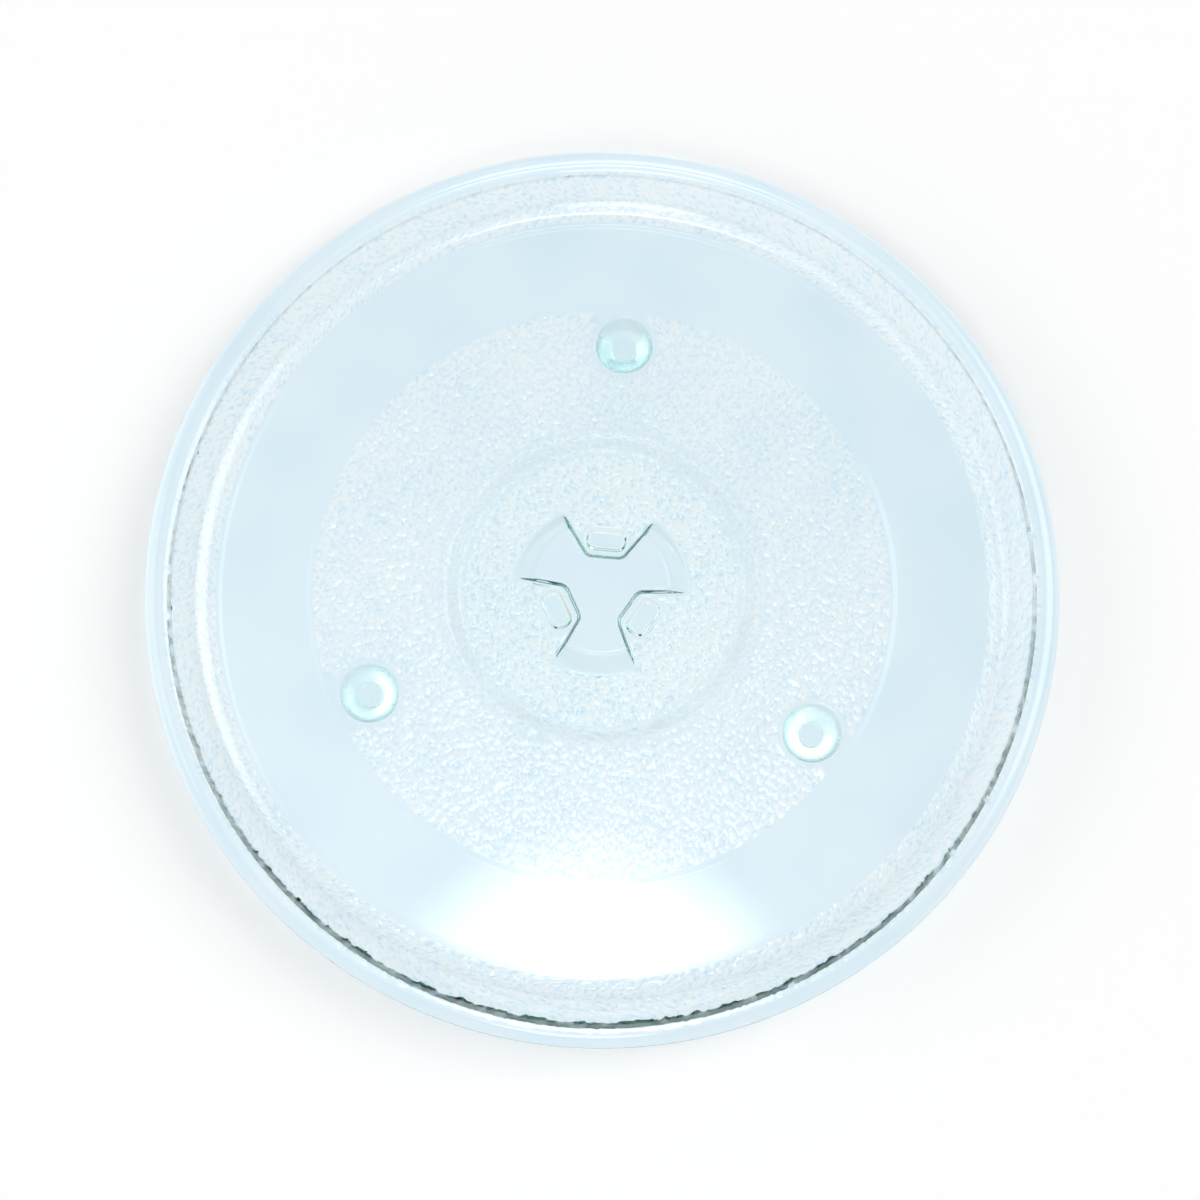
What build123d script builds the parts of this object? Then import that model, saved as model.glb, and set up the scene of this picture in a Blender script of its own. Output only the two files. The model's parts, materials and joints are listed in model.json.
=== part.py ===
from build123d import *
import os
from math import radians, sin, tan

# Microwave oven turntable plate, pressed in one piece from clear glass, in millimetres.
# It stands the right way up on its three feet: +Z is up, and the turning axis is Z.
# The origin is on that axis at the level of the feet, and one of the feet is on +Y.

# Dish
PLATE_DIAMETER = 245.0
FLOOR_THICKNESS = 5.5
DISH_DEPTH = 8.5
FLOOR_FILLET = 7.0

# Rim: a sloping wall that ends in a lip, with a bevel of rounded corners outside its top
WALL_SLOPE = 47.0
WALL_THICKNESS = 5.0
WALL_FOOT_ROUND = 6.0
CREST_ROUND = 3.5
LIP_OVERHANG = 5.2
LIP_THICKNESS = 6.0
LIP_TOP_BEVEL = 2.6
LIP_TOP_ROUND = 4.0
LIP_BOTTOM_BEVEL = 1.0

# Smooth land under the floor, where the wheels of the roller ring run
TRACK_WIDTH = 24.5
TRACK_RISE = 0.3
TRACK_WALL_GAP = 3.2

# Feet: blunt cones on the underside, just inside the track
FOOT_COUNT = 3
FOOT_HEIGHT = 5.0
FOOT_TIP_DIAMETER = 6.6
FOOT_ROOT_DIAMETER = 16.0
FOOT_TRACK_GAP = 2.5

# Hub boss, with a conical socket that takes a three-armed drive coupler
BOSS_DIAMETER = 78.0
BOSS_HEIGHT = 2.0
BOSS_FLANK_RUN = 3.6
SOCKET_MOUTH_DIAMETER = 47.2
SOCKET_WALL_RUN = 5.0
SOCKET_RECESS = 0.8
SOCKET_CORNER_ROUND = 1.6
SOCKET_FLOOR_BEVEL = 0.5
SOCKET_MOUTH_BEVEL = 0.5

# Drive lugs, which stand in the socket between the coupler's arms
LUG_COUNT = 3
LUG_NOSE_RADIUS = 8.6
LUG_NOSE_WIDTH = 9.8
LUG_NOSE_ROUND = 2.2
LUG_FLARE = 35.0
LUG_DRAFT = 8.0
LUG_EMBED = 2.0

# Pads raised on the noses of the lugs
PAD_LENGTH = 11.4
PAD_WIDTH = 6.6
PAD_HEIGHT = 1.0
PAD_CORNER_ROUND = 2.6
PAD_DRAFT = 45.0
PAD_NOSE_GAP = 1.4

# Ends of edges and faces this close in height are on one level
LEVEL_TOLERANCE = 0.001

# Levels, from the feet up
underside = FOOT_HEIGHT
floor_top = underside + FLOOR_THICKNESS
crest = floor_top + DISH_DEPTH
lip_bottom = crest - LIP_THICKNESS
boss_face = underside - BOSS_HEIGHT
socket_floor = underside + SOCKET_RECESS

# Radii, from the lip inwards
wall_run = 1 / tan(radians(WALL_SLOPE))
wall_span = WALL_THICKNESS / sin(radians(WALL_SLOPE))
lip_radius = PLATE_DIAMETER / 2
lip_root = lip_radius - LIP_OVERHANG
wall_foot = lip_root - (lip_bottom - underside) * wall_run
crest_corner = lip_root + (crest - lip_bottom) * wall_run - wall_span
floor_corner = crest_corner - DISH_DEPTH * wall_run
flat_end = wall_foot - WALL_FOOT_ROUND * tan(radians(WALL_SLOPE / 2))
track_outer = flat_end - TRACK_WALL_GAP
track_inner = track_outer - TRACK_WIDTH
foot_pitch = track_inner - FOOT_TRACK_GAP - FOOT_ROOT_DIAMETER / 2
boss_radius = BOSS_DIAMETER / 2
mouth_radius = SOCKET_MOUTH_DIAMETER / 2


def turned(corners):
    """Turn a half section about Z, given as corners of radius, height and the round of each corner."""
    points = [(radius, height) for radius, height, _ in corners]
    rounds = [corner_round for _, _, corner_round in corners]
    outline = FilletPolyline(*points, radius=rounds, close=True)
    return revolve(Plane.YZ * make_face(outline), Axis.Z)


def dish():
    """The dish with its rim, roller track and hub boss, and the open conical socket in the boss."""
    return turned(
        [
            (0, floor_top, 0),
            (floor_corner, floor_top, FLOOR_FILLET),
            (crest_corner, crest, CREST_ROUND),
            (lip_radius - LIP_TOP_BEVEL, crest, LIP_TOP_ROUND),
            (lip_radius, crest - LIP_TOP_BEVEL, LIP_TOP_ROUND),
            (lip_radius, lip_bottom + LIP_BOTTOM_BEVEL, 0),
            (lip_radius - LIP_BOTTOM_BEVEL, lip_bottom, 0),
            (lip_root, lip_bottom, 0),
            (wall_foot, underside, WALL_FOOT_ROUND),
            (track_outer + TRACK_RISE, underside, 0),
            (track_outer, underside - TRACK_RISE, 0),
            (track_inner, underside - TRACK_RISE, 0),
            (track_inner - TRACK_RISE, underside, 0),
            (boss_radius + BOSS_FLANK_RUN, underside, 0),
            (boss_radius, boss_face, 0),
            (mouth_radius, boss_face, 0),
            (mouth_radius - SOCKET_WALL_RUN, socket_floor, 0),
            (0, socket_floor, 0),
        ]
    )


def foot():
    """The foot on +Y: a blunt cone, with a root that is set into the floor."""
    root = FOOT_ROOT_DIAMETER / 2
    seat = underside + FLOOR_THICKNESS / 2
    cone = turned(
        [
            (0, 0, 0),
            (FOOT_TIP_DIAMETER / 2, 0, 0),
            (root, underside, 0),
            (root, seat, 0),
            (0, seat, 0),
        ]
    )
    return Pos(Y=foot_pitch) * cone


def lug():
    """The drive lug on +Y: a wedge with a rounded nose, drafted from the socket's floor to the boss's face."""
    heel = mouth_radius + LUG_EMBED
    half_nose = LUG_NOSE_WIDTH / 2
    half_heel = half_nose + (heel - LUG_NOSE_RADIUS) * tan(radians(LUG_FLARE))
    outline = FilletPolyline(
        (-half_heel, heel),
        (-half_nose, LUG_NOSE_RADIUS),
        (half_nose, LUG_NOSE_RADIUS),
        (half_heel, heel),
        radius=[0, LUG_NOSE_ROUND, LUG_NOSE_ROUND, 0],
        close=True,
    )
    return extrude(Pos(Z=socket_floor) * make_face(outline), boss_face - socket_floor, taper=LUG_DRAFT)


def pad():
    """The pad on the nose of the lug on +Y: a low block with rounded corners and drafted sides."""
    nose_at_face = LUG_NOSE_RADIUS + (socket_floor - boss_face) * tan(radians(LUG_DRAFT))
    centre = nose_at_face + PAD_NOSE_GAP + PAD_WIDTH / 2
    outline = RectangleRounded(PAD_LENGTH, PAD_WIDTH, PAD_CORNER_ROUND)
    return extrude(Pos(0, centre, boss_face) * outline, -PAD_HEIGHT, taper=PAD_DRAFT)


def around(piece, count):
    """Copies of a piece, evenly spaced about the turning axis."""
    return [Rot(Z=index * 360 / count) * piece for index in range(count)]


def level_face(plate, height):
    """The flat face of the plate at a height, looking down."""
    faces = plate.faces().filter_by(Plane.XY)
    return faces.filter_by(lambda face: abs(face.center().Z - height) < LEVEL_TOLERANCE)[0]


def soften_socket(plate):
    """Round the corners of the socket's lobes, then bevel the edge of its floor and its mouth."""
    depth = socket_floor - boss_face
    uprights = plate.edges().filter_by(lambda edge: abs(abs((edge @ 0).Z - (edge @ 1).Z) - depth) < LEVEL_TOLERANCE)
    lobe_corners = uprights.sort_by_distance((0, 0, socket_floor))[-2 * LUG_COUNT :]
    plate = fillet(lobe_corners, SOCKET_CORNER_ROUND)
    plate = chamfer(level_face(plate, socket_floor).outer_wire().edges(), SOCKET_FLOOR_BEVEL)
    return chamfer(level_face(plate, boss_face).inner_wires()[0].edges(), SOCKET_MOUTH_BEVEL)


def turntable_plate():
    """The whole plate: the turned dish with its drive lugs, pads and feet."""
    plate = dish() + around(lug(), LUG_COUNT)
    plate = soften_socket(plate)
    return plate + around(pad(), LUG_COUNT) + around(foot(), FOOT_COUNT)


os.makedirs("parts", exist_ok=True)
export_step(turntable_plate(), "parts/turntable_plate.step")
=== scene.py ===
import json
from math import atan2, cos, pi, radians, sin, sqrt, tan

import bmesh
import bpy
from mathutils import Matrix, Vector, noise
from mathutils.bvhtree import BVHTree
from mathutils.kdtree import KDTree


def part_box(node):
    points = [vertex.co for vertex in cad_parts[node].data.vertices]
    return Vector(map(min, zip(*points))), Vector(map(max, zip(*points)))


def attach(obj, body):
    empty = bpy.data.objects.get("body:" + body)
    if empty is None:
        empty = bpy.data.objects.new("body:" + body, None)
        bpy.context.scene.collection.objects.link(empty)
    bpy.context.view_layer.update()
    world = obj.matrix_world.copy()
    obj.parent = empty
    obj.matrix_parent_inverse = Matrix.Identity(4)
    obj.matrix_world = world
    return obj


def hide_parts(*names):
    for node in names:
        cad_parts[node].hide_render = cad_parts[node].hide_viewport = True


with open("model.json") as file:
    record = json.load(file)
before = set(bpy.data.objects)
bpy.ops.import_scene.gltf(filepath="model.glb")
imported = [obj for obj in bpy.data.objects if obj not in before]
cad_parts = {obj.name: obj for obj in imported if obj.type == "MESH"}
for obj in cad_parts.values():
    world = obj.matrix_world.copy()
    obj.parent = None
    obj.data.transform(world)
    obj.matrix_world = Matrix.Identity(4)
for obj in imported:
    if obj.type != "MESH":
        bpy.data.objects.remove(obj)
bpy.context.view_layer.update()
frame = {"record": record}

# Turntable plate
# One piece of clear glass with a pale blue tint, pressed hot between a plunger, which leaves the dish
# smooth, and a mould, which stipples the underside except for the track, the feet and the socket.
# It is modelled in millimetres, and scaled to metres when it is whole.
metre = 1000
mount_place = {mount["name"]: Vector(mount["pos_m"]) * metre for mount in frame["record"]["mounts"]}
plate_low, plate_high = (Vector(corner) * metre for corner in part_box("turntable_plate"))

# Levels, from the tips of the feet up
track_rise = 0.3
boss_height = 2
lip_thickness = 6
foot_tip = plate_low.z
track_face = mount_place["roller_track"].z
underside = track_face + track_rise
boss_face = underside - boss_height
socket_floor = mount_place["drive_socket"].z
floor_top = mount_place["dish_floor"].z
crest = plate_high.z
lip_bottom = crest - lip_thickness

# Radii, from the lip inwards
wall_slope = radians(47)
wall_thickness = 5
lip_overhang = 5.2
lip_radius = plate_high.x
lip_root = lip_radius - lip_overhang
wall_foot = lip_root - (lip_bottom - underside) / tan(wall_slope)
crest_corner = lip_root + (crest - lip_bottom) / tan(wall_slope) - wall_thickness / sin(wall_slope)
floor_corner = crest_corner - (crest - floor_top) / tan(wall_slope)
track_outer = 104.03
track_inner = 79.53
foot_pitch = mount_place["foot_1"].y
boss_flank_run = 3.6
boss_radius = 39
boss_root = boss_radius + boss_flank_run

# Points closer than the gap are one, and a bend sharper than the limit is an edge
weld_gap = 1e-3
sharp_bend = radians(40)


def chain(bm, points):
    """A string of edges through points of radius and height, in the XZ plane."""
    corners = [bm.verts.new((radius, 0, height)) for radius, height in points]
    for first, second in zip(corners, corners[1:]):
        bm.edges.new((first, second))
    return corners


def round_corner(bm, corner, radius, segments):
    """Round a corner of a string of edges."""
    first, second = (edge.other_vert(corner).co - corner.co for edge in corner.link_edges)
    bend = pi - first.angle(second)
    bmesh.ops.bevel(
        bm, geom=[corner], offset=radius * tan(bend / 2), offset_type="OFFSET", affect="VERTICES",
        segments=segments, profile=0.5, material=-1)


def round_edges(bm, edges, radius):
    """Round some edges of a part."""
    bmesh.ops.bevel(
        bm, geom=edges, offset=radius, offset_type="OFFSET", affect="EDGES",
        segments=4, profile=0.5, material=-1)


def divide(bm, size):
    """Divide the edges that are longer than a size."""
    for edge in bm.edges[:]:
        bmesh.ops.subdivide_edges(bm, edges=[edge], cuts=int(edge.calc_length() / size))


def repeat(bm, count):
    """Repeat all that is there about Z."""
    bmesh.ops.spin(
        bm, geom=bm.verts[:] + bm.edges[:] + bm.faces[:], cent=(0, 0, 0), axis=(0, 0, 1),
        angle=2 * pi * (count - 1) / count, steps=count - 1, use_duplicate=True)
    bmesh.ops.remove_doubles(bm, verts=bm.verts[:], dist=weld_gap)


def turn(bm, steps):
    """Turn all the strings of edges once about Z: one sector first, and then its copies."""
    sectors = 8
    bmesh.ops.spin(
        bm, geom=bm.verts[:] + bm.edges[:], cent=(0, 0, 0), axis=(0, 0, 1),
        angle=2 * pi / sectors, steps=steps // sectors)
    repeat(bm, sectors)


def join(bm, part):
    """Move a part into another mesh, and return the edges that it has there."""
    carrier = bpy.data.meshes.new("carrier")
    part.to_mesh(carrier)
    part.free()
    there = set(bm.edges)
    bm.from_mesh(carrier)
    bpy.data.meshes.remove(carrier)
    return [edge for edge in bm.edges if edge not in there]


# The grain of the mould, the same in each run
grain_size = 0.65
# The lift paints the grain paler overall, for the painted glints on its tops
glint_paint_lift = 0.22
noise.seed_set(1)


def stipple(bm, depth):
    """Press the mould's grain into all but the border of a part, and keep its lifted height for the
    material's painted glints.
    """
    bmesh.ops.recalc_face_normals(bm, faces=bm.faces[:])
    glint_paint = bm.verts.layers.float.get("glint_paint") or bm.verts.layers.float.new("glint_paint")
    inner = [vert for vert in bm.verts if not vert.is_boundary]
    normals = [vert.normal.copy() for vert in inner]
    for vert, normal in zip(inner, normals):
        height = noise.noise(vert.co / grain_size)
        vert[glint_paint] = depth * (height + glint_paint_lift)
        vert.co += normal * depth * height


# The dish, turned from the edge of its floor over the rim to the underside of the lip. Here and below,
# a margin is a narrow strip of the flat that a string of edges ends in.
floor_margin = 4.5
floor_fillet = 7
crest_round = 3.5
lip_top_bevel = 2.6
lip_top_round = 4
lip_bottom_round = 1.2
lip_margin = 1.6
plate_mesh = bmesh.new()
corners = chain(plate_mesh, [
    (floor_corner - floor_margin, floor_top), (floor_corner, floor_top), (crest_corner, crest),
    (lip_radius - lip_top_bevel, crest), (lip_radius, crest - lip_top_bevel), (lip_radius, lip_bottom),
    (lip_root + lip_margin, lip_bottom)])
dish_rounds = (floor_fillet, crest_round, lip_top_round, lip_top_round, lip_bottom_round)
for corner, radius in zip(corners[1:6], dish_rounds):
    round_corner(plate_mesh, corner, radius, segments=8)
turn(plate_mesh, steps=288)

# The outside of the wall and a narrow band of the underside, both stippled. A steep satin step under
# the lip shows from above as a thin dark line.
step_drop = 1
step_run = 0.3
step_margin = 1
step_satin = 0.45
step_slack = 0.01
wall_foot_round = 6
band_margin = 0.9
wall_mesh = bmesh.new()
corners = chain(wall_mesh, [
    (lip_root + step_margin, lip_bottom), (lip_root + step_run, lip_bottom),
    (lip_root - step_run, lip_bottom - step_drop), (wall_foot, underside),
    (track_outer + band_margin, underside)])
round_corner(wall_mesh, corners[3], wall_foot_round, segments=7)
divide(wall_mesh, size=0.75)
turn(wall_mesh, steps=864)
satin = wall_mesh.verts.layers.float.new("satin")
for vert in wall_mesh.verts:
    above_step_foot = vert.co.z > lip_bottom - step_drop + step_slack
    if above_step_foot and vert.co.xy.length < lip_root + step_run + step_slack:
        vert[satin] = step_satin
stipple(wall_mesh, depth=0.28)
join(plate_mesh, wall_mesh)

# The track, which the mould leaves smooth, with a short ramp along each side
ramp_round = 1.5
ramp = ((0.6, underside), (0.3, underside), (-0.9, track_face), (-1.4, track_face))
track_mesh = bmesh.new()
corners = chain(
    track_mesh,
    [(track_outer + offset, level) for offset, level in ramp]
    + [(track_inner - offset, level) for offset, level in reversed(ramp)])
for corner in corners[1:3] + corners[5:7]:
    round_corner(track_mesh, corner, ramp_round, segments=3)
turn(track_mesh, steps=288)
join(plate_mesh, track_mesh)

# The flank of the boss
boss_root_margin = 2
boss_root_round = 3
boss_edge_margin = 1.5
boss_edge_round = 2
boss_mesh = bmesh.new()
corners = chain(boss_mesh, [
    (boss_root + boss_root_margin, underside), (boss_root, underside),
    (boss_radius, boss_face), (boss_radius - boss_edge_margin, boss_face)])
for corner, radius in zip(corners[1:3], (boss_root_round, boss_edge_round)):
    round_corner(boss_mesh, corner, radius, segments=6)
divide(boss_mesh, size=0.8)
turn(boss_mesh, steps=384)
stipple(boss_mesh, depth=0.14)
join(plate_mesh, boss_mesh)

# Each foot is a blunt cone with a rounded tip, a flared root and a satin flank
foot_count = 3
foot_tip_flat = 2.6
foot_tip_radius = 3.3
foot_tip_round = 0.6
foot_root_radius = 8
foot_root_round = 1.2
foot_root_margin = 1
foot_satin = 0.35
foot_tip_clear = 0.2
foot_root_clear = 0.1
foot_mesh = bmesh.new()
corners = chain(foot_mesh, [
    (0, foot_tip), (foot_tip_flat, foot_tip), (foot_tip_radius, foot_tip), (foot_root_radius, underside),
    (foot_root_radius + foot_root_margin, underside)])
for corner, radius in zip(corners[2:4], (foot_tip_round, foot_root_round)):
    round_corner(foot_mesh, corner, radius, segments=6)
turn(foot_mesh, steps=64)
satin = foot_mesh.verts.layers.float.new("satin")
for vert in foot_mesh.verts:
    if foot_tip + foot_tip_clear < vert.co.z < underside - foot_root_clear:
        vert[satin] = foot_satin
bmesh.ops.translate(foot_mesh, vec=(0, foot_pitch, 0), verts=foot_mesh.verts[:])
repeat(foot_mesh, foot_count)
join(plate_mesh, foot_mesh)

# The drive socket is a cone with three lobes, between lugs that have a draft on their sides
lug_count = 3
lug_half_pitch = pi / lug_count
lug_nose = 8.6
lug_nose_round = 2.2
lug_half_width = 4.9
lug_flare = radians(35)
lug_draft = radians(8)
lobe_corner_round = 1.6
lobe_turn = Matrix.Rotation(pi / 6, 3, "Z")
mouth_radius = 23.6
mouth_round = 0.4
mouth_setback = (socket_floor - boss_face) * tan(lug_draft)
socket_wall_run = 5
socket_bed_round = 0.8
socket_flange = 0.5


def socket_outline(level, reach, setback):
    """The socket's outline at one level: half a lobe with rounded corners, mirrored and repeated."""
    outline = bmesh.new()
    along = Vector((cos(lug_half_pitch), sin(lug_half_pitch), 0))
    across = Vector((sin(lug_half_pitch), -cos(lug_half_pitch), 0))
    lift = Vector((0, 0, level))
    nose_middle = along * (lug_nose + setback)
    nose_half_width = lug_half_width - setback * (1 - sin(lug_flare)) / cos(lug_flare)
    nose_corner = nose_middle + across * nose_half_width
    flank = along * cos(lug_flare) + across * sin(lug_flare)
    slide = nose_corner.dot(flank)
    flank_length = sqrt(slide**2 - nose_corner.length_squared + reach**2) - slide
    lobe_corner = nose_corner + flank * flank_length
    lobe_middle = outline.verts.new((reach, 0, level))
    arc = bmesh.ops.spin(
        outline, geom=[lobe_middle], cent=(0, 0, 0), axis=(0, 0, 1),
        angle=atan2(lobe_corner.y, lobe_corner.x), steps=5)
    ends = [item for item in arc["geom_last"] if isinstance(item, bmesh.types.BMVert)]
    ends += [outline.verts.new(nose_corner + lift), outline.verts.new(nose_middle + lift)]
    for first, second in zip(ends, ends[1:]):
        outline.edges.new((first, second))
    round_corner(outline, ends[0], lobe_corner_round, segments=4)
    round_corner(outline, ends[1], lug_nose_round, segments=5)
    bmesh.ops.mirror(
        outline, geom=outline.verts[:] + outline.edges[:], matrix=Matrix.Identity(4),
        merge_dist=weld_gap, axis="Y")
    repeat(outline, lug_count)
    bmesh.ops.rotate(outline, cent=(0, 0, 0), matrix=lobe_turn, verts=outline.verts[:])
    return outline


socket_mesh = socket_outline(boss_face, mouth_radius + socket_flange, mouth_setback + socket_flange)
mouth = bmesh.ops.contextual_create(socket_mesh, geom=socket_mesh.edges[:])["faces"]
bmesh.ops.inset_region(
    socket_mesh, faces=mouth, thickness=socket_flange, depth=0, use_even_offset=True, use_boundary=True)
mouth_edges = mouth[0].edges[:]
bmesh.ops.delete(socket_mesh, geom=mouth, context="FACES_ONLY")
bed_edges = join(socket_mesh, socket_outline(socket_floor, mouth_radius - socket_wall_run, 0))
bmesh.ops.bridge_loops(socket_mesh, edges=mouth_edges + bed_edges)
bed = bmesh.ops.contextual_create(socket_mesh, geom=bed_edges)["faces"]
bmesh.ops.inset_region(
    socket_mesh, faces=bed, thickness=2 * socket_flange, depth=0, use_even_offset=True)
round_edges(socket_mesh, mouth_edges, mouth_round)
round_edges(socket_mesh, bed_edges, socket_bed_round)
join(plate_mesh, socket_mesh)

# A low rounded pad stands on the nose of each lug
pad_length = 11.4
pad_width = 6.6
pad_height = 1
pad_corner = 2.6
pad_draft = radians(45)
pad_flange = 0.5
pad_round = 0.9 * pad_flange
pad_nose_gap = 1.4
pad_flank_highlight = 0.11
pad_slack = 0.01
pad_mesh = bmesh.new()
bmesh.ops.create_grid(pad_mesh, x_segments=1, y_segments=1, size=0.5)
bmesh.ops.scale(
    pad_mesh, vec=(pad_length + 2 * pad_flange, pad_width + 2 * pad_flange, 1), verts=pad_mesh.verts[:])
bmesh.ops.bevel(
    pad_mesh, geom=pad_mesh.verts[:], offset=pad_corner + pad_flange, offset_type="OFFSET",
    affect="VERTICES", segments=6, profile=0.5, material=-1)
pad_tip = pad_mesh.faces[:]
bmesh.ops.inset_region(
    pad_mesh, faces=pad_tip, thickness=pad_flange, depth=0, use_even_offset=True, use_boundary=True)
pad_mesh.normal_update()
bmesh.ops.inset_region(
    pad_mesh, faces=pad_tip, thickness=pad_height * tan(pad_draft), depth=pad_height,
    use_even_offset=True)
pad_mesh.normal_update()
bmesh.ops.inset_region(pad_mesh, faces=pad_tip, thickness=2 * pad_flange, depth=0, use_even_offset=True)
pad_mesh.normal_update()
round_edges(pad_mesh, [edge for edge in pad_mesh.edges if edge.calc_face_angle(0) > sharp_bend], pad_round)
# The flanks of the pads are painted white, a painted highlight for the bright ring that light makes there
glint_paint = pad_mesh.verts.layers.float.new("glint_paint")
for vert in pad_mesh.verts:
    if pad_slack < vert.co.z < pad_height - pad_slack:
        vert[glint_paint] = pad_flank_highlight
bmesh.ops.rotate(pad_mesh, cent=(0, 0, 0), matrix=Matrix.Rotation(pi, 3, "X"), verts=pad_mesh.verts[:])
pad_centre = lug_nose + mouth_setback + pad_nose_gap + pad_width / 2
bmesh.ops.translate(pad_mesh, vec=(0, pad_centre, boss_face), verts=pad_mesh.verts[:])
repeat(pad_mesh, lug_count)
join(plate_mesh, pad_mesh)

# The flats close the mesh: the floor of the dish, the underside of the lip, the rest of the underside
# and the face of the boss
grid_jitter = 0.3
grid_jitter_rate = 7.3
grid_rim_room = 0.8
upwards = Vector((0, 0, 1))


def is_ragged(vert):
    """Whether a point of a grid hangs loose, or its border crosses itself there."""
    border = sum(len(edge.link_faces) < 2 for edge in vert.link_edges)
    return not vert.link_faces or border not in (0, 2)


def grain_grid(rims, level, reach, pitch):
    """A grid of jittered points on a flat, as far as the rims of the flat leave room."""
    whole = rims.copy()
    bmesh.ops.subdivide_edges(whole, edges=whole.edges[:], cuts=3)
    rim_points = KDTree(len(whole.verts))
    for vert in whole.verts:
        rim_points.insert(vert.co, vert.index)
    rim_points.balance()
    bmesh.ops.triangle_fill(whole, edges=whole.edges[:], use_beauty=True, normal=upwards)
    region = BVHTree.FromBMesh(whole)
    whole.free()
    grid = bmesh.new()
    count = int(2 * reach / pitch)
    bmesh.ops.create_grid(grid, x_segments=count, y_segments=count, size=reach)
    for vert in grid.verts:
        vert.co += grid_jitter * pitch * noise.noise_vector(vert.co * grid_jitter_rate)
        vert.co.z = level
    unwanted = [
        vert for vert in grid.verts
        if region.ray_cast(vert.co - upwards, upwards)[0] is None
        or rim_points.find(vert.co)[2] < grid_rim_room * pitch]
    while unwanted:
        bmesh.ops.delete(grid, geom=unwanted, context="VERTS")
        unwanted = [vert for vert in grid.verts if is_ragged(vert)]
    bmesh.ops.triangulate(grid, faces=grid.faces[:])
    return grid


def fill(level, low, high, pitch=0, depth=0):
    """Fill a flat between its rims, which lie between two radii. With a pitch, it is stippled."""
    flat = plate_mesh.copy()
    others = [
        edge for edge in flat.edges
        if not edge.is_boundary or abs(edge.verts[0].co.z - level) > weld_gap
        or not low < edge.verts[0].co.xy.length < high]
    bmesh.ops.delete(flat, geom=others, context="EDGES")
    if pitch:
        join(flat, grain_grid(flat, level, high, pitch))
    gaps = [edge for edge in flat.edges if len(edge.link_faces) < 2]
    bmesh.ops.triangle_fill(flat, edges=gaps, use_beauty=True, normal=upwards)
    if pitch:
        stipple(flat, depth)
    join(plate_mesh, flat)
    bmesh.ops.remove_doubles(plate_mesh, verts=plate_mesh.verts[:], dist=weld_gap)


fill(floor_top, 0, lip_radius)
fill(lip_bottom, 0, lip_radius)
fill(underside, track_outer, lip_radius)
fill(underside, 0, track_inner, pitch=0.66, depth=0.19)
fill(boss_face, 0, boss_radius, pitch=0.55, depth=0.31)
bmesh.ops.recalc_face_normals(plate_mesh, faces=plate_mesh.faces[:])
for face in plate_mesh.faces:
    face.smooth = True
for edge in plate_mesh.edges:
    edge.smooth = edge.calc_face_angle(0) < sharp_bend
bmesh.ops.scale(plate_mesh, vec=(1 / metre, 1 / metre, 1 / metre), verts=plate_mesh.verts[:])

glass_data = bpy.data.meshes.new("turntable_plate_glass")
plate_mesh.to_mesh(glass_data)
plate_mesh.free()
plate = bpy.data.objects.new("turntable_plate_glass", glass_data)
bpy.context.collection.objects.link(plate)

# The glass is tinted through its depth. The grain is painted paler on its tops, up to white, and a deeper
# blue in its hollows, as painted glints, and the flanks of the pads are painted white as a painted
# highlight.
# The plain faces have a faint cloud. The satin faces are the step under the lip and the flanks of the
# feet.
glass = bpy.data.materials.new("clear_pressed_glass")
glass.use_nodes = True
nodes, links = glass.node_tree.nodes, glass.node_tree.links
shader = nodes["Principled BSDF"]
shader.inputs["IOR"].default_value = 1.52
shader.inputs["Transmission Weight"].default_value = 1
glint_paint_attribute = nodes.new("ShaderNodeAttribute")
glint_paint_attribute.attribute_name = "glint_paint"
place = nodes.new("ShaderNodeTexCoord")
cloud = nodes.new("ShaderNodeTexNoise")
cloud.inputs["Scale"].default_value = 45
cloud.inputs["Detail"].default_value = 0
links.new(place.outputs["Object"], cloud.inputs["Vector"])
cloud_and_glints = nodes.new("ShaderNodeMath")
cloud_and_glints.operation = "MULTIPLY_ADD"
cloud_and_glints.inputs[1].default_value = 0.04
links.new(cloud.outputs["Fac"], cloud_and_glints.inputs[0])
links.new(glint_paint_attribute.outputs["Fac"], cloud_and_glints.inputs[2])
spread = nodes.new("ShaderNodeMapRange")
spread.inputs["From Min"].default_value = -0.065
spread.inputs["From Max"].default_value = 0.105
links.new(cloud_and_glints.outputs["Value"], spread.inputs["Value"])
# Painted glints and shade: a deeper blue low in the grain, white high on it and on the flanks of the pads
painted_glints = nodes.new("ShaderNodeValToRGB")
painted_glints.color_ramp.elements[0].color = (0.58, 0.77, 0.94, 1)
painted_glints.color_ramp.elements[1].color = (1, 0.99, 1, 1)
middle = painted_glints.color_ramp.elements.new(0.5)
middle.color = (0.81, 0.91, 1, 1)
links.new(spread.outputs["Result"], painted_glints.inputs["Fac"])
links.new(painted_glints.outputs["Color"], shader.inputs["Base Color"])
satin_faces = nodes.new("ShaderNodeAttribute")
satin_faces.attribute_name = "satin"
links.new(satin_faces.outputs["Fac"], shader.inputs["Roughness"])
tint = nodes.new("ShaderNodeVolumeAbsorption")
tint.inputs["Color"].default_value = (0.4, 0.9, 0.75, 1)
tint.inputs["Density"].default_value = 18
links.new(tint.outputs["Volume"], nodes["Material Output"].inputs["Volume"])
glass_data.materials.append(glass)

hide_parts("turntable_plate")
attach(plate, "root")

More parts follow.
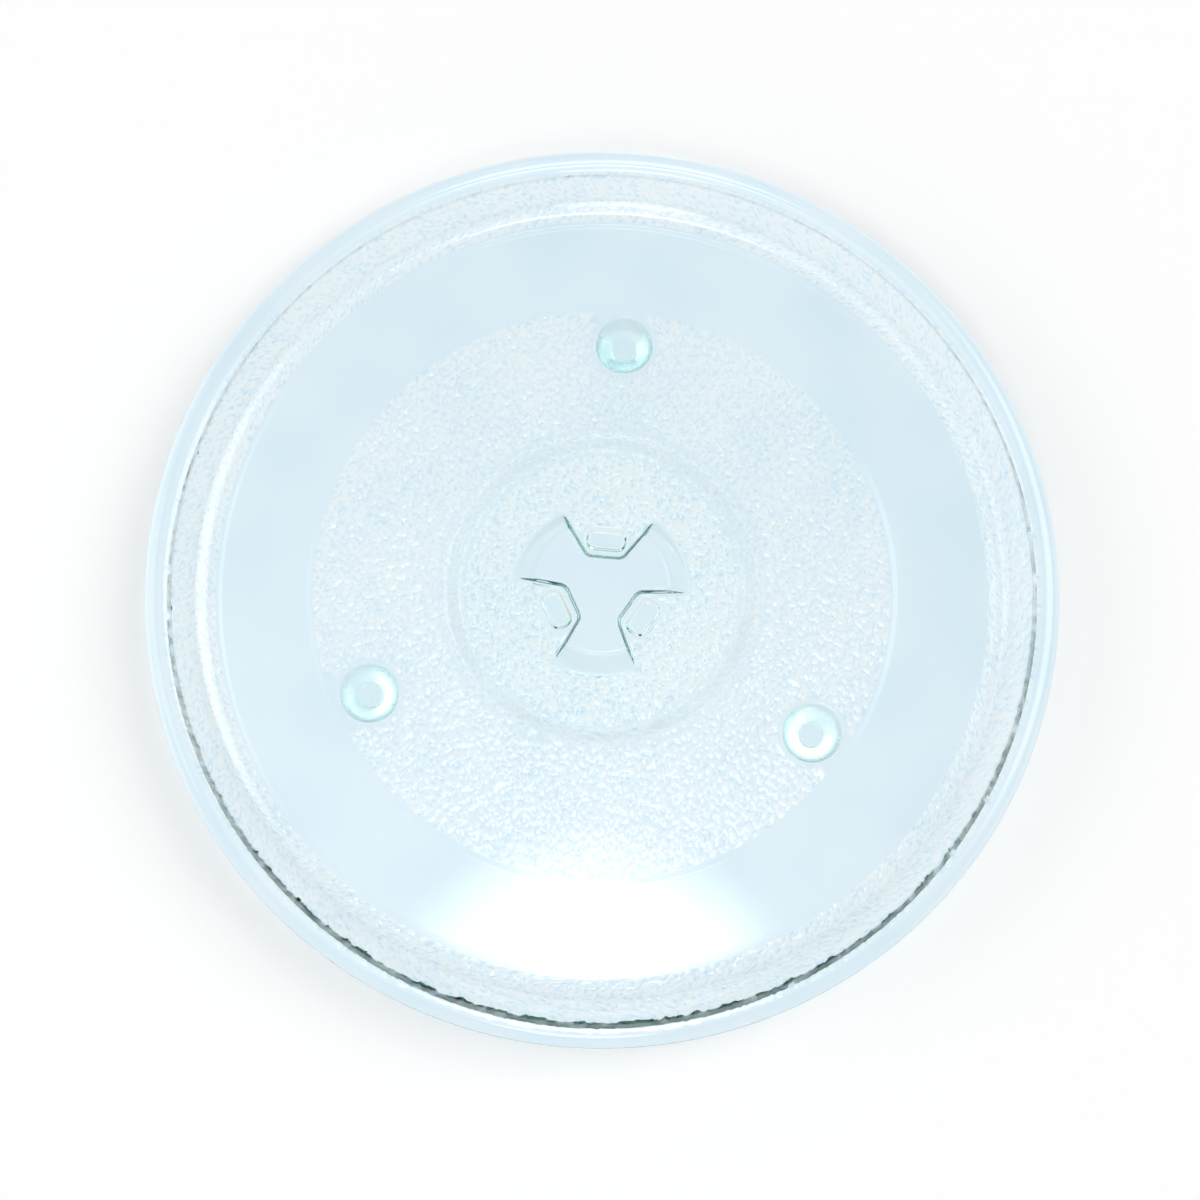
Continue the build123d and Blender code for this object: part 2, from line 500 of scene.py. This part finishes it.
# Floor
# A plain white sheet that the plate stands on, a hair below the tips of the feet.
# Seen through the glass it is mostly an even white, as a lit backdrop is, and it keeps a little shade.
sheet_half_side = 2
sheet_gap = 0.0002
floor_mesh = bmesh.new()
bmesh.ops.create_grid(floor_mesh, x_segments=1, y_segments=1, size=sheet_half_side)
floor_data = bpy.data.meshes.new("floor")
floor_mesh.to_mesh(floor_data)
floor_mesh.free()
floor = bpy.data.objects.new("floor", floor_data)
floor.location.z = -sheet_gap
bpy.context.collection.objects.link(floor)
white = bpy.data.materials.new("white_sheet")
white.use_nodes = True
nodes, links = white.node_tree.nodes, white.node_tree.links
sheet = nodes["Principled BSDF"]
sheet.inputs["Base Color"].default_value = (0.93, 0.93, 0.93, 1)
sheet.inputs["Roughness"].default_value = 0.9
glow = nodes.new("ShaderNodeEmission")
glow.inputs["Color"].default_value = (1, 1, 1, 1)
ray = nodes.new("ShaderNodeLightPath")
through_glass = nodes.new("ShaderNodeMath")
through_glass.operation = "MULTIPLY"
through_glass.inputs[1].default_value = 0.86
links.new(ray.outputs["Is Transmission Ray"], through_glass.inputs[0])
blend = nodes.new("ShaderNodeMixShader")
links.new(through_glass.outputs["Value"], blend.inputs["Fac"])
links.new(sheet.outputs["BSDF"], blend.inputs[1])
links.new(glow.outputs["Emission"], blend.inputs[2])
links.new(blend.outputs["Shader"], nodes["Material Output"].inputs["Surface"])
floor_data.materials.append(white)

# Light
# A plain white sky, brighter low down at the front left than at the back right, with soft round lamps.
# The camera, and the rays that pass through the glass, see it as a white backdrop.
bright_side = (-0.75, -0.66, 0)
studio = bpy.data.worlds.new("studio")
bpy.context.scene.world = studio
studio.use_nodes = True
nodes, links = studio.node_tree.nodes, studio.node_tree.links
direction = nodes.new("ShaderNodeTexCoord")
height = nodes.new("ShaderNodeSeparateXYZ")
links.new(direction.outputs["Generated"], height.inputs["Vector"])
side = nodes.new("ShaderNodeVectorMath")
side.operation = "DOT_PRODUCT"
side.inputs[1].default_value = bright_side
links.new(direction.outputs["Generated"], side.inputs[0])
low_sky = nodes.new("ShaderNodeMapRange")
low_sky.inputs["From Min"].default_value = -0.6
low_sky.inputs["From Max"].default_value = 0.6
low_sky.inputs["To Min"].default_value = 0.25
low_sky.inputs["To Max"].default_value = 0.75
links.new(side.outputs["Value"], low_sky.inputs["Value"])
sky = nodes.new("ShaderNodeMapRange")
sky.interpolation_type = "SMOOTHSTEP"
sky.inputs["From Min"].default_value = 0.4
sky.inputs["From Max"].default_value = 0.8
sky.inputs["To Max"].default_value = 0.37
links.new(low_sky.outputs["Result"], sky.inputs["To Min"])
links.new(height.outputs["Z"], sky.inputs["Value"])


def soft_lamp(light, azimuth, zenith, inner, outer, strength):
    """Add a round lamp to the sky, full inside one radius and gone outside the other, all in degrees."""
    lean = sin(radians(zenith))
    towards = (lean * cos(radians(azimuth)), lean * sin(radians(azimuth)), cos(radians(zenith)))
    facing = nodes.new("ShaderNodeVectorMath")
    facing.operation = "DOT_PRODUCT"
    facing.inputs[1].default_value = towards
    links.new(direction.outputs["Generated"], facing.inputs[0])
    edge = nodes.new("ShaderNodeMapRange")
    edge.interpolation_type = "SMOOTHSTEP"
    edge.inputs["From Min"].default_value = cos(radians(outer))
    edge.inputs["From Max"].default_value = cos(radians(inner))
    edge.inputs["To Max"].default_value = strength
    links.new(facing.outputs["Value"], edge.inputs["Value"])
    total = nodes.new("ShaderNodeMath")
    links.new(light, total.inputs[0])
    links.new(edge.outputs["Result"], total.inputs[1])
    return total.outputs["Value"]


# A small lamp overhead, a wide one beside it, and one each on the left, at the back right and in front
light = sky.outputs["Result"]
light = soft_lamp(light, azimuth=264, zenith=1.3, inner=2, outer=6.5, strength=7)
light = soft_lamp(light, azimuth=240, zenith=14, inner=6, outer=30, strength=1.2)
light = soft_lamp(light, azimuth=180, zenith=55, inner=12, outer=22, strength=1.4)
light = soft_lamp(light, azimuth=22, zenith=43, inner=10, outer=29, strength=3)
light = soft_lamp(light, azimuth=270, zenith=38, inner=6, outer=11, strength=4)
ray = nodes.new("ShaderNodeLightPath")
seen = nodes.new("ShaderNodeMath")
seen.operation = "MAXIMUM"
links.new(ray.outputs["Is Camera Ray"], seen.inputs[0])
links.new(ray.outputs["Is Transmission Ray"], seen.inputs[1])
backdrop = nodes.new("ShaderNodeMath")
backdrop.operation = "MAXIMUM"
links.new(light, backdrop.inputs[0])
links.new(seen.outputs["Value"], backdrop.inputs[1])
links.new(backdrop.outputs["Value"], nodes["Background"].inputs["Strength"])
nodes["Background"].inputs["Color"].default_value = (1, 1, 1, 1)

# Camera
# It looks down steeply from the front, a little to the right.
# The lens is a short telephoto one, so that the far rim is hardly smaller than the near one.
target = Vector((-0.0002, -0.0034, 0.0065))
azimuth = radians(5.2)
elevation = radians(78.9)
distance = 0.56
away = Vector((sin(azimuth) * cos(elevation), -cos(azimuth) * cos(elevation), sin(elevation)))
camera_data = bpy.data.cameras.new("camera")
camera_data.lens = 61.8
camera_data.sensor_width = 36
camera_data.clip_start = 0.01
camera = bpy.data.objects.new("camera", camera_data)
camera.location = target + away * distance
camera.rotation_euler = away.to_track_quat("Z", "Y").to_euler()
bpy.context.collection.objects.link(camera)
bpy.context.scene.camera = camera
bpy.context.scene.view_settings.view_transform = "Standard"
